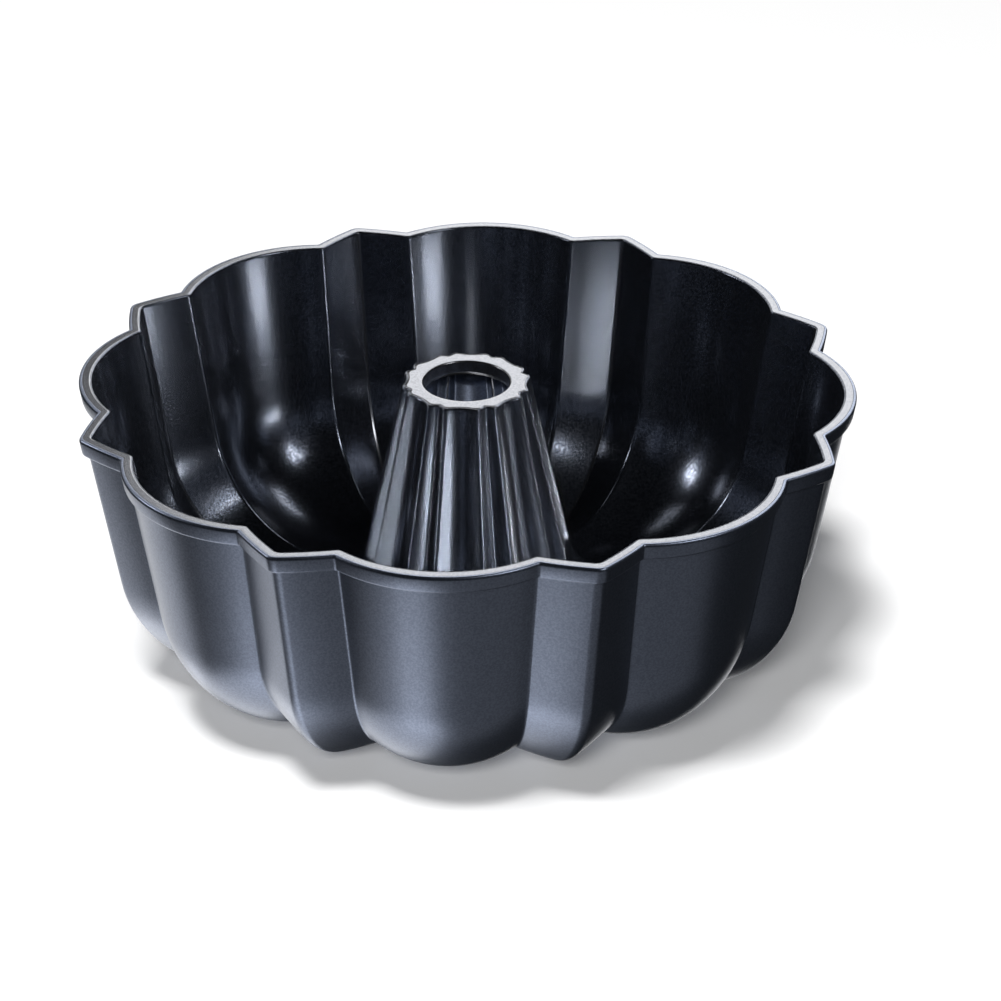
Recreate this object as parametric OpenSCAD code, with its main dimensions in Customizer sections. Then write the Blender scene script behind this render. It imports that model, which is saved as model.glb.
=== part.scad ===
// Fluted ring cake pan (bundt pan) with a centre tube.
// Eight round lobes and eight sharp ridges run from the rim down the wall,
// across the floor and up the tube. The pan stands on its eight ridges.
// The origin is on the axis, in the plane that the pan rests on.

/* [Rim] */
// Inside radius at the rim, at the creases between lobes and ridges
rim_r = 113; // [108:0.5:118]
// Width of the rim's flat top, from the inner edge to the outer edge
rim_w = 4.1; // [3.6:0.1:5]
// Height of the thick band around the rim
rim_h = 5.5; // [4:0.5:8]
// Edge broken off the rim's outer corner
rim_edge = 0.8; // [0.4:0.1:1]

/* [Wall] */
// Draft of the wall, in degrees from upright
draft = 8.5; // [6:0.5:11]
// Depth of the straight part of the wall, below the rim
wall_depth = 52; // [45:1:58]
// Radius of the bend from the wall to the floor
bend_r = 39.5; // [35:0.5:42]

/* [Flutes] */
// Number of round lobes, with one ridge between each two
lobes = 8; // [7:1:10]
// Half of a lobe's width at the rim, in degrees
lobe_half = 14.6; // [12:0.1:16]
// How much narrower that half width is at the floor, in degrees
lobe_narrowing = 1.1; // [0:0.1:2]
// Bulge of a lobe, as a share of the radius
lobe_bulge = 0.061; // [0.04:0.001:0.075]
// Height of a ridge, as a share of the radius
ridge_bulge = 0.0755; // [0.06:0.0005:0.085]

/* [Centre tube] */
// Radius of the tube at its top, at the creases
tube_r = 21; // [20:0.1:23]
// Taper of the tube, in degrees from upright
tube_taper = 12.6; // [10:0.2:14]
// Depth of the flutes on the tube, as a multiple of their depth on the wall
tube_flute = 1.6; // [1:0.1:1.7]
// Radius of the round hole in the tube's top
bore_r = 13.9; // [13:0.1:14.5]
// Depth of the thick ring around that hole
lip_h = 5; // [4:0.5:7]
// Edge broken off the top of the hole
lip_edge = 0.8; // [0.4:0.1:1.2]

/* [Thickness] */
// Thickness of the cast metal
cast_t = 2; // [1.8:0.1:2.8]
// Thickness of the non-stick lining
lining_t = 0.2; // [0.15:0.05:0.3]
// Thickness of the outer coat
coat_t = 0.2; // [0.15:0.05:0.3]
// Height ground off the ridges so that the pan stands flat
foot_flat = 0.8; // [0.5:0.1:1.2]

/* [Hidden] */

// Facets: per lobe, down the wall, round each bend and up the tube
lobe_steps = 6;
wall_steps = 3;
bend_steps = 8;
tube_steps = 3;

// Slope of the step under the rim band
step_h = 1.2;
// Stock left inside the tube's hole for the cutter
bore_stock = 2;
// Width of the flat under the tube's thick ring, outside the hole
lip_land = 0.8;
// Size of the cutter that grinds the feet flat
cutter_r = rim_r * 1.5;
cutter_h = 10;

sector = 360 / lobes;
ring_points = lobe_steps + 2;
around = lobes * ring_points;

// Distances from the lining's surface to the metal's two faces and to the coat's
metal_in = lining_t;
metal_out = lining_t + cast_t;
coat_out = metal_out + coat_t;

// Centre of the bend at the wall: the floor's lowest circle is below it
bend_x = rim_r - wall_depth * tan(draft) - bend_r * cos(draft);
bend_z = -wall_depth + bend_r * sin(draft);
floor_z = bend_z - bend_r;

// The bend at the tube touches the floor's lowest circle and the tube's cone
tube_bend_r = (bend_x - tube_r + floor_z * tan(tube_taper)) * cos(tube_taper) / (1 - sin(tube_taper));
tube_bend_z = floor_z + tube_bend_r;
cone_r = bend_x - tube_bend_r * cos(tube_taper);
cone_z = tube_bend_z - tube_bend_r * sin(tube_taper);

// The rim is this far above the plane that the feet rest on
pan_h = -floor_z + ridge_bulge * bend_x + coat_out - foot_flat;

// A station is [radius, height, direction, flute]. Flutes and thickness are laid off
// from it along the direction: 0 is outward, 90 is down and 180 is inward. The flutes'
// depth is multiplied by flute, which grows round the bend at the tube and is 0 on round faces.
function wall_station(depth) =
    [rim_r - depth * tan(draft), -depth, draft * depth / wall_depth, 1];
function bend_station(a) =
    [bend_x + bend_r * cos(a), bend_z - bend_r * sin(a), a, 1];
function tube_bend_station(a) =
    [bend_x + tube_bend_r * cos(a), tube_bend_z - tube_bend_r * sin(a), a,
        1 + (tube_flute - 1) * (a - 90) / (90 - tube_taper)];
function tube_station(depth) =
    [tube_r + depth * tan(tube_taper), -depth, 180 - tube_taper * depth / -cone_z, tube_flute];
function round_station(r, depth) = [r, -depth, 0, 0];

// Stations from the rim to the foot of the tube's cone, and on up to its top
shell_line = concat(
    [for (i = [0:wall_steps]) wall_station(wall_depth * i / wall_steps)],
    [for (i = [1:bend_steps]) bend_station(draft + (90 - draft) * i / bend_steps)],
    [for (i = [1:bend_steps]) tube_bend_station(90 + (90 - tube_taper) * i / bend_steps)]);
tube_line = [for (i = [1:tube_steps]) tube_station(-cone_z * (1 - i / tube_steps))];
foot = shell_line[len(shell_line) - 1];

// A stop is [station, offset]
function stops(line, offset) = [for (s = line) [s, offset]];
function back(list) = [for (i = [len(list) - 1:-1:0]) list[i]];
function round_stop(r, depth) = [round_station(r, depth), 0];

// Outside of the pan from the band's top edge to the foot of the cone
function outside(extra) = concat(
    [[wall_station(rim_edge), rim_w + extra]],
    [[wall_station(rim_h), rim_w + extra]],
    [[wall_station(rim_h + step_h), metal_out + extra]],
    [for (i = [1:len(shell_line) - 1]) [shell_line[i], metal_out + extra]]);

// Inside of the tube, from the foot of the cone to just below the thick ring
function chimney(extra) = concat(
    [for (i = [0:tube_steps - 2]) [tube_line[i], metal_out + extra]],
    [[tube_station(lip_h + step_h), metal_out + extra]]);

// Flute at place j of a sector: its angle from the lobe's middle and its share of the radius
function lobe_half_at(z) = lobe_half + lobe_narrowing * z / -floor_z;
function flute_angle(j, z) =
    j > lobe_steps ? sector / 2 : (2 * j / lobe_steps - 1) * lobe_half_at(z);
function flute_share(j) =
    j > lobe_steps ? ridge_bulge : lobe_bulge * (1 - pow(2 * j / lobe_steps - 1, 2));

function stop_point(stop, n) =
    let (s = stop[0])
    let (j = n % ring_points)
    let (turn = sector * floor(n / ring_points) + flute_angle(j, s[1]))
    let (out = stop[1] + s[3] * s[0] * flute_share(j))
    let (r = s[0] + out * cos(s[2]))
    [r * cos(turn), r * sin(turn), pan_h + s[1] - out * sin(s[2])];

// Closed ring through a loop of stops, with the material on the left of the way
module ring_solid(loop) {
    count = len(loop);
    polyhedron(
        points = [for (stop = loop) for (n = [0:around - 1]) stop_point(stop, n)],
        faces = [
            for (i = [0:count - 1])
            for (n = [0:around - 1])
            let (a = i * around + n)
            let (b = (i + 1) % count * around + n)
            let (c = (i + 1) % count * around + (n + 1) % around)
            let (d = i * around + (n + 1) % around)
            for (face = [[a, b, c], [a, c, d]]) face
        ],
        convexity = 10);
}

// Everything below the plane that the feet rest on
module ground() {
    translate([0, 0, -cutter_h])
        cylinder(h = cutter_h, r = cutter_r, $fn = 96);
}

// Wall, floor and rim band of the casting
module cast_shell() {
    color([0.24, 0.27, 0.32])
        difference() {
            ring_solid(concat(
                stops(shell_line, metal_in),
                back(outside(0)),
                [[wall_station(0), rim_w - rim_edge]]));
            ground();
        }
}

// Fluted tube of the casting, with the thick ring and its round hole at the top
module centre_tube() {
    color([0.34, 0.37, 0.42])
        difference() {
            ring_solid(concat(
                stops(concat([foot], tube_line), metal_in),
                [round_stop(bore_r - bore_stock, 0)],
                [round_stop(bore_r - bore_stock, lip_h)],
                [round_stop(bore_r + lip_land, lip_h)],
                back(chimney(0)),
                [[foot, metal_out]]));
            translate([0, 0, pan_h - lip_h * 2])
                cylinder(h = lip_h * 3, r = bore_r, $fn = 96);
            translate([0, 0, pan_h - lip_edge])
                cylinder(h = lip_edge, r1 = bore_r, r2 = bore_r + lip_edge, $fn = 96);
        }
}

// Non-stick lining on every face that the cake touches
module nonstick_lining() {
    color([0.06, 0.07, 0.09])
        ring_solid(concat(
            stops(concat(shell_line, tube_line), 0),
            back(stops(concat(shell_line, tube_line), metal_in))));
}

// Coat on the outside, under the floor and up inside the tube, bare at the feet
module outer_coat() {
    color([0.17, 0.2, 0.25])
        difference() {
            ring_solid(concat(
                outside(0),
                chimney(0),
                back(chimney(coat_t)),
                back(outside(coat_t))));
            ground();
        }
}

cast_shell();
centre_tube();
nonstick_lining();
outer_coat();
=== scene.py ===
"""Looks of a fluted ring cake pan: a casting with a centre tube, a glossy lining and a satin outer coat."""

import math

import bpy
import numpy as np
from mathutils import Matrix, Vector


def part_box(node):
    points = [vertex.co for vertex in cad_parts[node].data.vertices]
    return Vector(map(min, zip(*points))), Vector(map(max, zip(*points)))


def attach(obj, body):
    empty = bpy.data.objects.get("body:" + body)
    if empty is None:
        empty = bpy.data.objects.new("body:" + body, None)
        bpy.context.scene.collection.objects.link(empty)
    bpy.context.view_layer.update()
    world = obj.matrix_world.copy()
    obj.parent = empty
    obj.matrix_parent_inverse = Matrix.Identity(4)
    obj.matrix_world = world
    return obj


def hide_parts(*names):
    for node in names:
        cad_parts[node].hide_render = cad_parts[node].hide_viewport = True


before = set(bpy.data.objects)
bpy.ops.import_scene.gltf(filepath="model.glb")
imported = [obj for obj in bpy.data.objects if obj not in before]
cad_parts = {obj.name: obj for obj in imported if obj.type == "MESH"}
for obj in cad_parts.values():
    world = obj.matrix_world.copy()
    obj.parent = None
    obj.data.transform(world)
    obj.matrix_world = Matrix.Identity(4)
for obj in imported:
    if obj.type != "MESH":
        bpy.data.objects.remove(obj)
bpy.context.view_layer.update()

# ---------------------------------------------------------------- shape, as in the CAD, in metres and degrees
LOBES = 8
SECTOR = 360 / LOBES
LOBE_HALF = 14.6
LOBE_NARROWING = 1.1
LOBE_BULGE = 0.061
RIDGE_BULGE = 0.0755
DRAFT = math.radians(8.5)
WALL_DEPTH = 0.052
BEND_R = 0.0395
TUBE_R = 0.0210
TAPER = math.radians(12.6)
TUBE_FLUTE = 1.6
BORE_R = 0.0139
LIP_H = 0.005
STEP_H = 0.0012
LINING_T = 0.0002
CAST_T = 0.002
COAT_T = 0.0002
RIM_W = 0.0041
RIM_H = 0.0055
METAL_OUT = LINING_T + CAST_T

PAN_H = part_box("cast_shell")[1].z
RIM_R = (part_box("nonstick_lining")[1].x - LINING_T) / (1 + LOBE_BULGE)

BEND_X = RIM_R - WALL_DEPTH * math.tan(DRAFT) - BEND_R * math.cos(DRAFT)
BEND_Z = -WALL_DEPTH + BEND_R * math.sin(DRAFT)
FLOOR_Z = BEND_Z - BEND_R
TUBE_BEND_R = (BEND_X - TUBE_R + FLOOR_Z * math.tan(TAPER)) * math.cos(TAPER) / (1 - math.sin(TAPER))
TUBE_BEND_Z = FLOOR_Z + TUBE_BEND_R
CONE_Z = TUBE_BEND_Z - TUBE_BEND_R * math.sin(TAPER)

# Roundings that only the visible meshes have
INNER_EDGE_R = 0.0005
OUTER_EDGE_R = 0.0011
BAND_EDGE_R = 0.0008
BAND_FILLET_R = 0.0006
RING_EDGE_R = 0.0006
BORE_EDGE_R = 0.0006
LIP_EDGE_R = 0.0005

# Half of the width over which (creases, ridge tips) are rounded, inside and outside
LINING_SOFT = (0.0010, 0.0008)
COAT_SOFT = (0.0006, 0.0017)
# The most that this may be, as a share of a ridge's half width
SOFT_LIMIT = 0.42

# The lining is drawn in two pieces, with a very narrow last band at each side of the seam
SEAM_TURN = 0.002
SEAM_H = 0.00005

# Depth of the flutes at the tube's top, and how far down they take to reach TUBE_FLUTE
RING_FLUTE = 1.3
RING_FADE = 0.02

# ---------------------------------------------------------------- stops along the pan's section
# A stop is (radius, height, direction, offset, flute). The height is from the rim's plane, so it is
# negative. The offset and the flutes are laid off along the direction, in radians: 0 is outward, a
# quarter turn is down and a half turn is inward. The flutes' depth is multiplied by flute.


def wall(depth, offset=0.0):
    return (RIM_R - depth * math.tan(DRAFT), -depth, DRAFT * depth / WALL_DEPTH, offset, 1.0)


def bend(angle, offset=0.0):
    return (BEND_X + BEND_R * math.cos(angle), BEND_Z - BEND_R * math.sin(angle), angle, offset, 1.0)


def tube_bend(angle, offset=0.0):
    x = BEND_X + TUBE_BEND_R * math.cos(angle)
    flute = 1 + (TUBE_FLUTE - 1) * (angle - math.pi / 2) / (math.pi / 2 - TAPER)
    return (x, TUBE_BEND_Z - TUBE_BEND_R * math.sin(angle), angle, offset, flute)


def tube(depth, offset=0.0):
    flute = RING_FLUTE + (TUBE_FLUTE - RING_FLUTE) * min(depth / RING_FADE, 1.0)
    return (TUBE_R + depth * math.tan(TAPER), -depth, math.pi - TAPER * depth / -CONE_Z, offset, flute)


def circle(radius, depth):
    return (radius, -depth, 0.0, 0.0, 0.0)


def steps(start, end, count):
    """Even steps from start to end, with both of them in the list."""
    return np.linspace(start, end, count + 1)


def arc(centre_offset, centre_depth, radius, start, end, place, count=6):
    """Stops round a small fillet in the plane of offset and depth, from angle start to angle end."""
    return [
        place(centre_depth - radius * math.sin(a), centre_offset + radius * math.cos(a))
        for a in steps(start, end, count)
    ]


def shell_run(offset, top, wall_steps=14, bend_steps=26):
    """Stops from the given depth under the rim to the foot of the tube's cone."""
    run = [wall(d, offset) for d in steps(top, WALL_DEPTH, wall_steps)]
    run += [bend(a, offset) for a in steps(DRAFT, math.pi / 2, bend_steps)[1:]]
    run += [tube_bend(a, offset) for a in steps(math.pi / 2, math.pi - TAPER, bend_steps)[1:]]
    return run


def tube_run(offset, top, count=12):
    """Stops from above the foot of the cone to the given depth under the tube's top."""
    return [tube(d, offset) for d in steps(-CONE_Z, top, count)[1:]]


# ---------------------------------------------------------------- flutes round the pan


def flute_sum(x, half):
    """Integral of the flutes' share of the radius from a lobe's middle to angle x, in degrees."""
    side = np.sign(x)
    x = np.abs(x)
    face = SECTOR / 2 - half
    in_lobe = np.minimum(x, half)
    up = np.clip(x - half, 0, face)
    down = np.clip(x - SECTOR / 2, 0, None)
    total = LOBE_BULGE * (in_lobe - in_lobe**3 / (3 * half**2))
    total = total + RIDGE_BULGE * up**2 / (2 * face)
    total = total + RIDGE_BULGE * (down - down**2 / (2 * face))
    return side * total


def flute_grid(radius, height, soft):
    """Angles from a lobe's middle across half a sector, and the flutes' share of the radius there.
    Creases and tips are averaged over a short width, which rounds them."""
    half = LOBE_HALF + LOBE_NARROWING * height / -FLOOR_Z
    face = SECTOR / 2 - half
    crease, tip = [np.minimum(np.degrees(s / radius), SOFT_LIMIT * face) for s in soft]
    lobe = [(half - crease) * f for f in steps(0, 1, 14)]
    corner = [half + crease * f for f in steps(-1, 1, 8)[1:]]
    side = [half + crease + (face - crease - tip) * f for f in steps(0, 1, 5)[1:]]
    point = [SECTOR / 2 - tip * f for f in steps(1, 0, 6)[1:]]
    angles = np.array(lobe + corner + side + point)
    width = np.array([crease] * (len(lobe) + len(corner)) + [tip] * (len(side) + len(point)))
    share = (flute_sum(angles + width, half) - flute_sum(angles - width, half)) / (2 * width)
    return angles, share


def ring_of(stop, soft):
    """One ring of points round the pan for a stop."""
    radius, height, direction, offset, flute = stop
    angles, share = flute_grid(radius, height, soft)
    angles = np.concatenate([-angles[::-1], angles[1:-1]])
    share = np.concatenate([share[::-1], share[1:-1]])
    turns = np.concatenate([angles + SECTOR * k for k in range(LOBES)])
    out = offset + flute * radius * np.tile(share, LOBES)
    reach = radius + out * math.cos(direction)
    turns = np.radians(turns)
    rise = PAN_H + height - out * math.sin(direction)
    return np.stack([reach * np.cos(turns), reach * np.sin(turns), rise], axis=1)


def ring_mesh(name, loop, soft, body="root"):
    """Closed ring through a loop of stops, with the material on the left of the way."""
    rings = np.array([ring_of(stop, soft) for stop in loop])
    # The ridges are ground flat where the pan rests
    rings[:, :, 2] = np.clip(rings[:, :, 2], 0.0, PAN_H)
    count, around, _ = rings.shape
    index = np.arange(count * around).reshape(count, around)
    below = np.roll(index, -1, axis=0)
    beside = np.roll(index, -1, axis=1)
    both = np.roll(below, -1, axis=1)
    quads = np.stack([index, beside, both, below], axis=2).reshape(-1, 4)
    mesh = bpy.data.meshes.new(name)
    mesh.from_pydata(rings.reshape(-1, 3).tolist(), [], quads.tolist())
    mesh.polygons.foreach_set("use_smooth", [True] * len(mesh.polygons))
    mesh.update()
    piece = bpy.data.objects.new(name, mesh)
    bpy.context.scene.collection.objects.link(piece)
    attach(piece, body)
    return piece


# ---------------------------------------------------------------- materials
# Scales of the noises, in waves per metre, and the height of the bumps in metres
GRAIN_SCALE = 1500.0
FLAKE_SCALE = 1300.0
PEEL_SCALE = 700.0
CLOUD_SCALE = 60.0
BUMP_DISTANCE = 0.0002


def new_material(name):
    material = bpy.data.materials.new(name)
    material.use_nodes = True
    tree = material.node_tree
    shader = tree.nodes["Principled BSDF"]
    place = tree.nodes.new("ShaderNodeTexCoord")
    return material, tree, shader, place.outputs["Object"]


def noise(tree, place, scale, detail=2.0, rough=0.5):
    node = tree.nodes.new("ShaderNodeTexNoise")
    node.inputs["Scale"].default_value = scale
    node.inputs["Detail"].default_value = detail
    node.inputs["Roughness"].default_value = rough
    tree.links.new(place, node.inputs["Vector"])
    return node.outputs["Fac"]


def ramp(tree, value, stops):
    """Colours for a value from 0 to 1, from (position, colour) pairs."""
    node = tree.nodes.new("ShaderNodeValToRGB")
    while len(node.color_ramp.elements) < len(stops):
        node.color_ramp.elements.new(0.5)
    for element, (position, colour) in zip(node.color_ramp.elements, stops):
        element.position = position
        element.color = (*colour, 1.0)
    tree.links.new(value, node.inputs["Fac"])
    return node.outputs["Color"]


def between(tree, value, low, high):
    """A value from 0 to 1, moved to lie between low and high."""
    node = tree.nodes.new("ShaderNodeMapRange")
    node.inputs["To Min"].default_value = low
    node.inputs["To Max"].default_value = high
    tree.links.new(value, node.inputs["Value"])
    return node.outputs["Result"]


def bump(tree, shader, height, strength, target):
    node = tree.nodes.new("ShaderNodeBump")
    node.inputs["Strength"].default_value = strength
    node.inputs["Distance"].default_value = BUMP_DISTANCE
    tree.links.new(height, node.inputs["Height"])
    tree.links.new(node.outputs["Normal"], shader.inputs[target])


def coated_metal(name, dark, light, rough, flake, peel, film, film_rough):
    """Baked-on metallic coat: fine flakes in a rough base, from dark to light, under a smoother film.
    The flakes have a bump of strength flake, and the film has one of strength peel, like orange peel."""
    material, tree, shader, place = new_material(name)
    grains = noise(tree, place, GRAIN_SCALE, detail=3.0, rough=0.7)
    middle = tuple((a + b) / 2 for a, b in zip(dark, light))
    colour = ramp(tree, grains, [(0.40, dark), (0.5, middle), (0.60, light)])
    tree.links.new(colour, shader.inputs["Base Color"])
    clouds = noise(tree, place, CLOUD_SCALE, detail=4.0)
    tree.links.new(between(tree, clouds, *rough), shader.inputs["Roughness"])
    shader.inputs["Metallic"].default_value = 0.9
    shader.inputs["Coat Weight"].default_value = film
    shader.inputs["Coat Roughness"].default_value = film_rough
    bump(tree, shader, noise(tree, place, FLAKE_SCALE, detail=2.0), flake, "Normal")
    bump(tree, shader, noise(tree, place, PEEL_SCALE, detail=1.0), peel, "Coat Normal")
    return material


def lining_coat():
    """Glossy, nearly black non-stick coat with a bluish fleck."""
    return coated_metal(
        "lining_coat", dark=(0.03, 0.037, 0.052), light=(0.125, 0.138, 0.17), rough=(0.18, 0.23),
        flake=0.14, peel=0.04, film=0.2, film_rough=0.08)


def outer_coat():
    """Satin slate-blue coat of the outside."""
    return coated_metal(
        "outer_coat", dark=(0.115, 0.135, 0.185), light=(0.155, 0.18, 0.24), rough=(0.32, 0.38),
        flake=0.07, peel=0.03, film=0.15, film_rough=0.25)


def rim_coat():
    """Dark grey casting, seen on the flat tops of the rim and the tube's ring."""
    return coated_metal(
        "rim_coat", dark=(0.12, 0.125, 0.14), light=(0.16, 0.165, 0.18), rough=(0.22, 0.25),
        flake=0.04, peel=0.02, film=0.2, film_rough=0.15)


def floor_white():
    """Plain white, with a little light of its own that keeps the shadow from going black."""
    material, _, shader, _ = new_material("floor_white")
    shader.inputs["Base Color"].default_value = (0.9, 0.9, 0.9, 1.0)
    shader.inputs["Roughness"].default_value = 0.9
    shader.inputs["Emission Color"].default_value = (1.0, 1.0, 1.0, 1.0)
    shader.inputs["Emission Strength"].default_value = 0.11
    return material


def set_material(piece, material):
    piece.data.materials.clear()
    piece.data.materials.append(material)


# ---------------------------------------------------------------- loops of stops, one for each piece
QUARTER = math.pi / 2


def wall_lining_loop():
    """Lining from the rim down the wall and across the floor to the foot of the cone."""
    foot = math.pi - TAPER
    front = arc(INNER_EDGE_R, INNER_EDGE_R, INNER_EDGE_R, QUARTER, 2 * QUARTER, wall)
    front += shell_run(0.0, 2 * INNER_EDGE_R)[:-1] + [tube_bend(foot - SEAM_TURN), tube_bend(foot)]
    behind = arc(INNER_EDGE_R, INNER_EDGE_R, INNER_EDGE_R - LINING_T, QUARTER, 2 * QUARTER, wall)
    behind += shell_run(LINING_T, 2 * INNER_EDGE_R)
    return front + behind[::-1]


def tube_lining_loop():
    """Lining from the foot of the cone to the tube's top."""
    edge = RING_EDGE_R
    front = [tube(-CONE_Z), tube(-CONE_Z - SEAM_H)] + tube_run(0.0, edge)
    front += arc(edge, edge, edge, 2 * QUARTER, QUARTER, tube)[1:]
    behind = [tube(-CONE_Z, LINING_T)] + tube_run(LINING_T, edge)
    behind += arc(edge, edge, edge - LINING_T, 2 * QUARTER, QUARTER, tube)[1:]
    return front + behind[::-1]


def outside_run(extra):
    """Stops down the rim band and the wall, under the floor, to the foot of the cone."""
    edge_r = OUTER_EDGE_R + extra
    side = RIM_W + extra
    flat = METAL_OUT + extra
    run = arc(RIM_W - OUTER_EDGE_R, OUTER_EDGE_R, edge_r, QUARTER, 0, wall)
    # The coat ends level with the rim's flat top
    run[0] = wall(0.0, RIM_W - OUTER_EDGE_R + extra)
    run += arc(side - BAND_EDGE_R, RIM_H - BAND_EDGE_R, BAND_EDGE_R, 0, -QUARTER, wall)
    run += arc(flat + BAND_FILLET_R, RIM_H + BAND_FILLET_R, BAND_FILLET_R, QUARTER, 2 * QUARTER, wall)
    return run + shell_run(flat, RIM_H + 2 * BAND_FILLET_R)


def chimney_run(extra):
    """Stops up the inside of the tube to just under the thick ring."""
    return [tube(d, METAL_OUT + extra) for d in steps(-CONE_Z, LIP_H + STEP_H, 10)[1:]]


def shell_loop():
    """Metal of the wall and the floor: up the inside, over the rim, and round the outside."""
    inner_r = INNER_EDGE_R - LINING_T
    inside = arc(INNER_EDGE_R, INNER_EDGE_R, inner_r, QUARTER, 2 * QUARTER, wall)
    inside += shell_run(LINING_T, 2 * INNER_EDGE_R)
    top = [wall(0.0, o) for o in steps(RIM_W - OUTER_EDGE_R, INNER_EDGE_R, 6)]
    return inside + outside_run(0.0)[1:][::-1] + top


def ring_top():
    """Flat top of the tube's ring, where the flutes fade into the round hole."""
    stops = [tube(0.0, RING_EDGE_R)]
    for share in steps(0, 1, 5)[1:]:
        radius = (TUBE_R - RING_EDGE_R) * (1 - share) + (BORE_R + BORE_EDGE_R) * share
        stops.append((radius, 0.0, math.pi, 0.0, RING_FLUTE * (1.0 - share)))
    return stops


def bore_run():
    """Round hole of the tube's ring, with its two rounded edges."""
    straight_end = LIP_H - LIP_EDGE_R
    stops = [
        circle(BORE_R + BORE_EDGE_R * (1 - math.sin(a)), BORE_EDGE_R * (1 - math.cos(a)))
        for a in steps(0, QUARTER, 6)[1:]
    ]
    stops += [circle(BORE_R, d) for d in steps(BORE_EDGE_R, straight_end, 4)[1:]]
    stops += [
        circle(BORE_R + LIP_EDGE_R * math.sin(a), LIP_H - LIP_EDGE_R * math.cos(a))
        for a in steps(0, QUARTER, 3)[1:]
    ]
    return stops


def tube_loop():
    """Metal of the tube: up its outside, over the ring, down the hole and down its inside."""
    ring_r = RING_EDGE_R - LINING_T
    outer = [tube(-CONE_Z, LINING_T)] + tube_run(LINING_T, RING_EDGE_R)
    outer += arc(RING_EDGE_R, RING_EDGE_R, ring_r, 2 * QUARTER, QUARTER, tube)[1:]
    inside = chimney_run(0.0)[::-1] + [tube(-CONE_Z, METAL_OUT)]
    return outer + ring_top() + bore_run() + inside


def coat_loop():
    """Coat on the outside, under the floor and up inside the tube."""
    contact = outside_run(0.0) + chimney_run(0.0)
    surface = outside_run(COAT_T) + chimney_run(COAT_T)
    return contact + surface[::-1]


# ---------------------------------------------------------------- pieces
LINING = lining_coat()
OUTER = outer_coat()
CASTING = rim_coat()

wall_lining = ring_mesh("lining_skin", wall_lining_loop(), LINING_SOFT)
tube_lining = ring_mesh("tube_lining_skin", tube_lining_loop(), LINING_SOFT)
shell = ring_mesh("shell_metal", shell_loop(), COAT_SOFT)
tube_piece = ring_mesh("tube_metal", tube_loop(), LINING_SOFT)
coat = ring_mesh("outer_skin", coat_loop(), COAT_SOFT)
set_material(wall_lining, LINING)
set_material(tube_lining, LINING)
set_material(shell, CASTING)
set_material(tube_piece, CASTING)
set_material(coat, OUTER)
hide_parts("nonstick_lining")
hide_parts("nonstick_lining")
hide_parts("cast_shell")
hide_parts("centre_tube")
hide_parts("outer_coat")

# ---------------------------------------------------------------- floor
FLOOR_HALF = 4.0


def make_floor():
    """Large flat floor that takes the pan's shadow, and is hidden from reflections and scattered light."""
    mesh = bpy.data.meshes.new("floor")
    corners = [(x * FLOOR_HALF, y * FLOOR_HALF, 0.0) for x, y in ((-1, -1), (1, -1), (1, 1), (-1, 1))]
    mesh.from_pydata(corners, [], [(0, 1, 2, 3)])
    mesh.materials.append(floor_white())
    plane = bpy.data.objects.new("floor", mesh)
    plane.visible_diffuse = False
    plane.visible_glossy = False
    plane.visible_shadow = False
    bpy.context.scene.collection.objects.link(plane)
    return plane


floor = make_floor()

# ---------------------------------------------------------------- camera
# The camera looks down on the rim from a little to the right of a lobe's middle
CAMERA_AZIMUTH = math.radians(3.66)
CAMERA_ELEVATION = math.radians(29.15)
CAMERA_ROLL = math.radians(0.12)
CAMERA_DISTANCE = 0.9884
CAMERA_LENS = 111.5
# Where it aims, from the middle of the rim's plane
AIM_RIGHT = 0.0110
AIM_UP = -0.0382


def place_camera():
    turn = Matrix.Rotation(CAMERA_AZIMUTH, 3, "Z")
    forward = turn @ Vector((0, math.cos(CAMERA_ELEVATION), -math.sin(CAMERA_ELEVATION)))
    right = turn @ Vector((1, 0, 0))
    up = right.cross(forward)
    aim = Vector((0, 0, PAN_H)) + right * AIM_RIGHT + up * AIM_UP
    rolled_right = right * math.cos(CAMERA_ROLL) + up * math.sin(CAMERA_ROLL)
    rolled_up = up * math.cos(CAMERA_ROLL) - right * math.sin(CAMERA_ROLL)
    camera = bpy.data.objects.new("camera", bpy.data.cameras.new("camera"))
    axes = Matrix((rolled_right, rolled_up, -forward)).transposed()
    camera.matrix_world = Matrix.Translation(aim - forward * CAMERA_DISTANCE) @ axes.to_4x4()
    camera.data.lens = CAMERA_LENS
    camera.data.sensor_width = 36.0
    camera.data.clip_start = 0.01
    bpy.context.scene.collection.objects.link(camera)
    bpy.context.scene.camera = camera


place_camera()

# ---------------------------------------------------------------- light
WORLD_COLOUR = (0.9, 0.95, 1.0, 1.0)
WORLD_STRENGTH = 0.01


def dim_world():
    """Very dim, slightly blue light from all round."""
    world = bpy.data.worlds.new("studio")
    world.use_nodes = True
    background = world.node_tree.nodes["Background"]
    background.inputs["Color"].default_value = WORLD_COLOUR
    background.inputs["Strength"].default_value = WORLD_STRENGTH
    bpy.context.scene.world = world
    bpy.context.scene.view_settings.view_transform = "Standard"


def collection_of(name, *members):
    group = bpy.data.collections.new(name)
    for member in members:
        group.objects.link(member)
    return group


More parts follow.
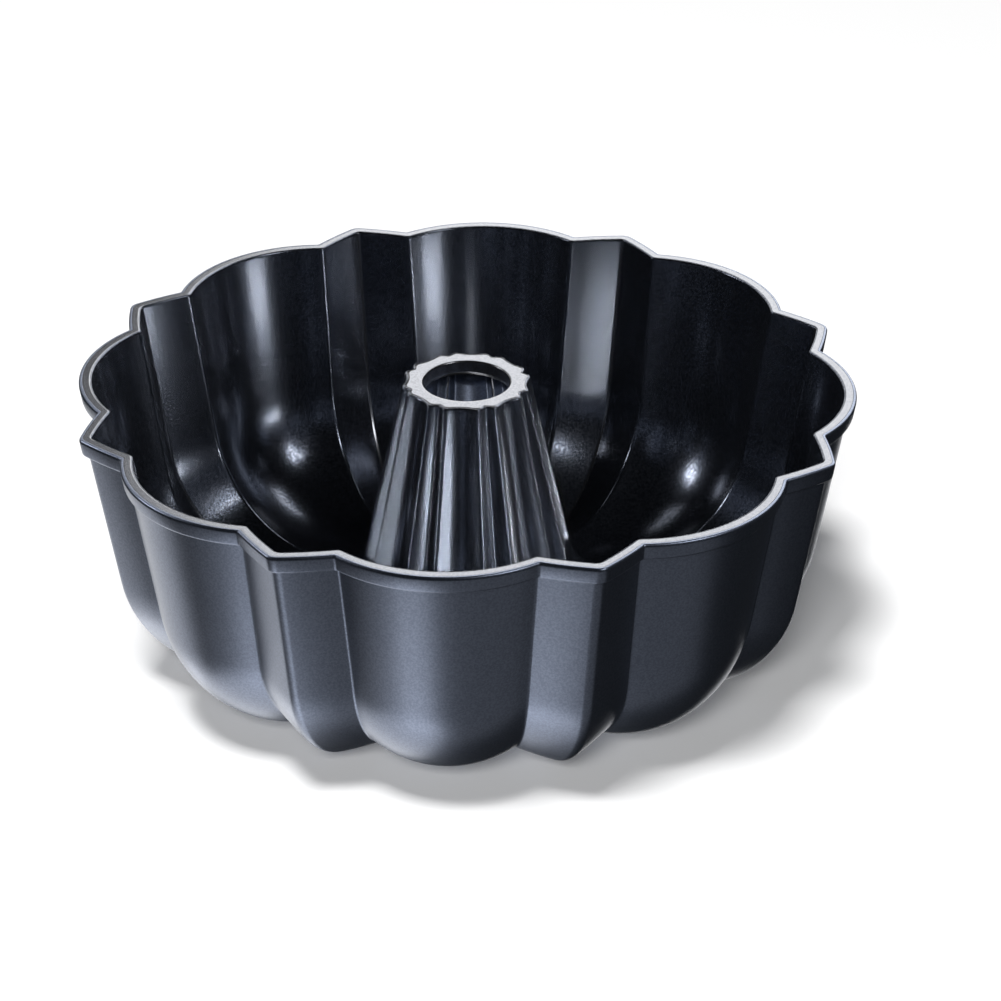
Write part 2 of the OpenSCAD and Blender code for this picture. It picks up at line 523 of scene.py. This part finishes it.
def softbox(name, azimuth, elevation, distance, size, radiance, lit, turn=0.0, spread=180.0):
    """Area light that is aimed at the pan's middle and lights only the pieces in the collection lit.
    Azimuth 0 is straight behind the pan and 90 is on its right, in degrees. The aim is turned aside by
    turn degrees about the upright axis, and spread is the width of the beam in degrees."""
    a, e = math.radians(azimuth), math.radians(elevation)
    way = Vector((math.sin(a) * math.cos(e), math.cos(a) * math.cos(e), math.sin(e)))
    way.rotate(Matrix.Rotation(CAMERA_AZIMUTH, 3, "Z"))
    data = bpy.data.lights.new(name, "AREA")
    data.shape = "RECTANGLE"
    data.size, data.size_y = size
    data.energy = radiance * math.pi * size[0] * size[1]
    data.spread = math.radians(spread)
    lamp = bpy.data.objects.new(name, data)
    lamp.location = Vector((0, 0, PAN_H / 2)) + way * distance
    aim = Matrix.Rotation(math.radians(turn), 3, "Z") @ -way
    lamp.rotation_euler = aim.to_track_quat("-Z", "Y").to_euler()
    lamp.visible_camera = False
    lamp.light_linking.receiver_collection = lit
    bpy.context.scene.collection.objects.link(lamp)
    return data


def near_light(*place, **aim):
    """Softbox close to the lining, which the pan's own metal doesn't stop.
    Its multiple importance sampling is off, because the pan would stop the rays of that."""
    data = softbox(*place, **aim)
    data.use_shadow = False
    data.cycles.use_multiple_importance_sampling = False


dim_world()

floor_only = collection_of("floor_only", floor)
pan_only = collection_of("pan_only", wall_lining, tube_lining, shell, tube_piece, coat)
wall_only = collection_of("wall_only", wall_lining)
tube_only = collection_of("tube_only", tube_lining)

# Name, azimuth, elevation, distance, size, radiance and the pieces that it lights
softbox("floor_key_top", -150, 73, 4.5, (1.0, 1.0), 63, floor_only)
softbox("floor_key_front", -172, 37, 4.5, (1.05, 1.05), 26, floor_only)
softbox("left_box", -85, 26, 0.9, (0.22, 0.22), 15, pan_only)
softbox("right_top", 133, 38, 1.2, (0.36, 0.30), 13, pan_only)
softbox("back_card", 27, 32, 1.6, (1.92, 1.3), 3.6, pan_only)
softbox("back_left", -37, 32, 1.6, (1.0, 1.3), 1.1, pan_only)

# Light that in the photograph comes up from the white table
softbox("table_front", -155, -48, 0.7, (0.22, 0.3), 1.7, pan_only)
softbox("table_left", -55, -38, 0.7, (0.7, 0.3), 1.4, pan_only)
softbox("table_right", 18, -38, 0.7, (0.4, 0.3), 1.4, pan_only)
softbox("table_under", -98, -66, 0.7, (0.9, 0.4), 1.8, pan_only)
softbox("table_fill", 180, -48, 0.7, (1.6, 0.7), 0.24, pan_only)

# Light that in the photograph reaches the lining by way of the facing wall
near_light("wall_right", 107, -3.5, 0.168, (0.07, 0.032), 9, wall_only)
near_light("wall_front", 154, -11, 0.235, (0.09, 0.05), 0.11, wall_only, turn=-22, spread=24)
near_light("tube_front_right", 154, -6, 0.235, (0.07, 0.12), 6.5, tube_only)
near_light("tube_right", 104, -8, 0.20, (0.07, 0.10), 1.0, tube_only)
near_light("tube_back_right", 66, -14, 0.20, (0.035, 0.08), 4.5, tube_only)
near_light("tube_front_left", -120, -9, 0.30, (0.12, 0.14), 2.4, tube_only)
